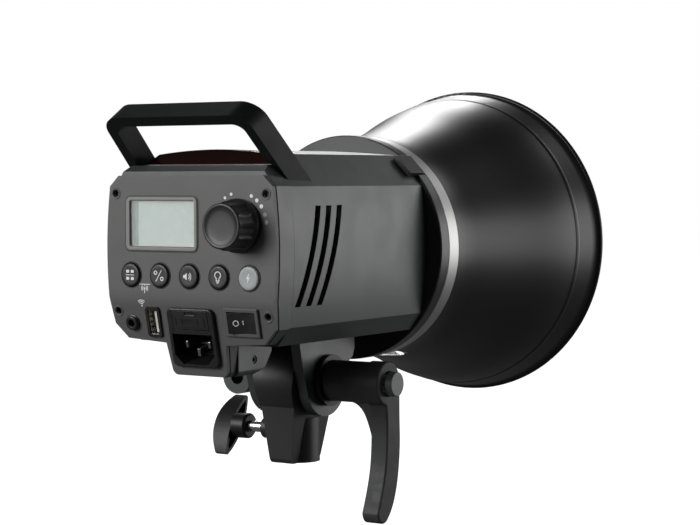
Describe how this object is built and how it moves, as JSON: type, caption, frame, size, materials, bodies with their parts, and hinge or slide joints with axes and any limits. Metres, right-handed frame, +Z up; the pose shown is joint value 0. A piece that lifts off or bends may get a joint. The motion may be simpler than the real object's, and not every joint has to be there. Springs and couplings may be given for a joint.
{
  "type": "monolight strobe",
  "caption": "Studio flash head with rear control panel, carry handle, bowl reflector and a tilting light-stand bracket with a clamp lever.",
  "frame": {"origin": "centre of the stand socket's mouth, under the tilting bracket", "axes": "+Z up along the stand spigot, light points along -Y, control panel faces +Y"},
  "size_m": [0.1844, 0.3025, 0.2351],
  "materials": {
    "housing": "fine moulded speckle, satin dark grey",
    "panel": "fine moulded texture, mid grey",
    "handle": "fine speckle, charcoal",
    "sensor_red": "dark red translucent",
    "dark_metal": "satin black",
    "ring_metal": "satin, turned",
    "latch": "satin black",
    "reflector_black": "satin black outside, brushed silver inside",
    "bare_aluminium": "bare",
    "tube_glass": "frosted quartz",
    "lamp_glass": "frosted",
    "ceramic": "ceramic white",
    "bracket": "glass-filled nylon, black",
    "knob_black": "satin black",
    "steel": "plated",
    "black_screws": "black oxide",
    "brass": "plain",
    "nylon": "natural nylon",
    "lever": "satin black",
    "lever_grey": "satin grey",
    "display_trim": "taupe grey, satin",
    "display_glass": "clear",
    "display_face": "pale grey-green",
    "board": "solder mask",
    "button_black": "satin black",
    "button_clear": "frosted",
    "inner_plastic": "black",
    "capacitor_sleeve": "shrink sleeve",
    "socket_plastic": "black",
    "fuse_glass": "clear"
  },
  "bodies": {
    "stand": {"stand_bracket": "bracket", "screw_insert": "brass"},
    "screw_tip": {"screw_tip": "nylon"},
    "wing": {"stand_screw": "steel", "wing_knob": "knob_black"},
    "head": {"main_housing": "housing", "keel": "housing", "keel_screws": "black_screws", "rear_bezel": "housing", "control_panel": "panel", "panel_screws": "black_screws", "carry_handle": "handle", "handle_screws": "black_screws", "sensor_window": "sensor_red", "sensor_board": "board", "front_flange": "dark_metal", "flange_screws": "black_screws", "mount_ring": "ring_metal", "lamp_plate": "bare_aluminium", "flash_tube": "tube_glass", "lamp_socket": "ceramic", "modelling_lamp": "lamp_glass", "clamp_nut": "steel", "friction_washers": "knob_black", "display_frame": "display_trim", "display_glass": "display_glass", "display_module": "display_face", "control_board": "board", "tact_switches": "inner_plastic", "dial_encoder": "inner_plastic", "usb_socket": "steel", "sync_socket": "socket_plastic", "mains_inlet": "socket_plastic", "inlet_pins": "steel", "switch_frame": "socket_plastic", "fan_frame": "inner_plastic", "capacitors": "capacitor_sleeve", "power_board": "board"},
    "ratchet": {"clamp_stud": "steel", "ratchet_core": "steel", "lever_button": "lever_grey", "pull_spring": "steel"},
    "lever": {"clamp_lever": "lever"},
    "latch": {"release_latch": "latch"},
    "reflector": {"reflector": "reflector_black", "reflector_collar": "bare_aluminium", "collar_rivets": "bare_aluminium"},
    "dial_press": {"dial_plunger": "steel"},
    "dial": {"dial_knob": "knob_black"},
    "fuse_tray": {"fuse_drawer": "socket_plastic", "fuse": "fuse_glass"},
    "rocker": {"rocker": "socket_plastic"},
    "fan": {"fan_rotor": "inner_plastic"},
    "group_button": {"group_button": "button_black"},
    "slave_button": {"slave_button": "button_black"},
    "buzzer_button": {"buzzer_button": "button_black"},
    "modelling_button": {"modelling_button": "button_black"},
    "test_button": {"test_button": "button_clear"}
  },
  "joints": [
    {"name": "head_tilt", "type": "hinge", "parent": "stand", "child": "head", "pos_m": [0, 0, 0.0447], "axis": [1, 0, 0], "range_deg": [-90, 90]},
    {"name": "screw_feed", "type": "slide", "parent": "stand", "child": "screw_tip", "axis": [1, 0, 0], "range_m": [-0.0016, 0.0041]},
    {"name": "wing_turn", "type": "hinge", "parent": "screw_tip", "child": "wing", "pos_m": [0.03, 0, 0.0165], "axis": [1, 0, 0], "range_deg": [-540, 1440]},
    {"name": "clamp_turn", "type": "hinge", "parent": "head", "child": "ratchet", "pos_m": [-0.03, 0, 0.0447], "axis": [1, 0, 0], "range_deg": [-50, 50]},
    {"name": "lever_pull", "type": "slide", "parent": "ratchet", "child": "lever", "axis": [-1, 0, 0], "range_m": [0, 0.004], "stiffness_N_per_m": 900, "springref_m": -0.001},
    {"name": "latch_slide", "type": "slide", "parent": "head", "child": "latch", "axis": [0, 1, 0], "range_m": [0, 0.005], "stiffness_N_per_m": 400, "springref_m": -0.001},
    {"name": "reflector_twist", "type": "hinge", "parent": "head", "child": "reflector", "pos_m": [0, -0.06, 0.114], "axis": [0, -1, 0], "range_deg": [0, 26]},
    {"name": "dial_push", "type": "slide", "parent": "head", "child": "dial_press", "axis": [0, -1, 0], "range_m": [0, 0.0006], "stiffness_N_per_m": 2500, "springref_m": -0.0001},
    {"name": "dial_turn", "type": "hinge", "parent": "dial_press", "child": "dial", "pos_m": [-0.031, 0.1, 0.1298], "axis": [0, 1, 0], "continuous": true},
    {"name": "group_button_press", "type": "slide", "parent": "head", "child": "group_button", "axis": [0, -1, 0], "range_m": [0, 0.0011], "stiffness_N_per_m": 1200, "springref_m": -0.0002},
    {"name": "slave_button_press", "type": "slide", "parent": "head", "child": "slave_button", "axis": [0, -1, 0], "range_m": [0, 0.0011], "stiffness_N_per_m": 1200, "springref_m": -0.0002},
    {"name": "buzzer_button_press", "type": "slide", "parent": "head", "child": "buzzer_button", "axis": [0, -1, 0], "range_m": [0, 0.0011], "stiffness_N_per_m": 1200, "springref_m": -0.0002},
    {"name": "modelling_button_press", "type": "slide", "parent": "head", "child": "modelling_button", "axis": [0, -1, 0], "range_m": [0, 0.0011], "stiffness_N_per_m": 1200, "springref_m": -0.0002},
    {"name": "test_button_press", "type": "slide", "parent": "head", "child": "test_button", "axis": [0, -1, 0], "range_m": [0, 0.0011], "stiffness_N_per_m": 1200, "springref_m": -0.0002},
    {"name": "fuse_pull", "type": "slide", "parent": "head", "child": "fuse_tray", "axis": [0, 0.9763, -0.2164], "range_m": [0, 0.014]},
    {"name": "rocker_turn", "type": "hinge", "parent": "head", "child": "rocker", "pos_m": [-0.031, 0.09074, 0.08265], "axis": [0, -0.2164, -0.9763], "range_deg": [0, 15]},
    {"name": "fan_spin", "type": "hinge", "parent": "head", "child": "fan", "pos_m": [0, 0.0446, 0.124], "axis": [0, 1, 0], "continuous": true}
  ],
  "couplings": [
    {"joint": "screw_feed", "follows": "wing_turn", "m_per_rad": 0.00015915}
  ]
}
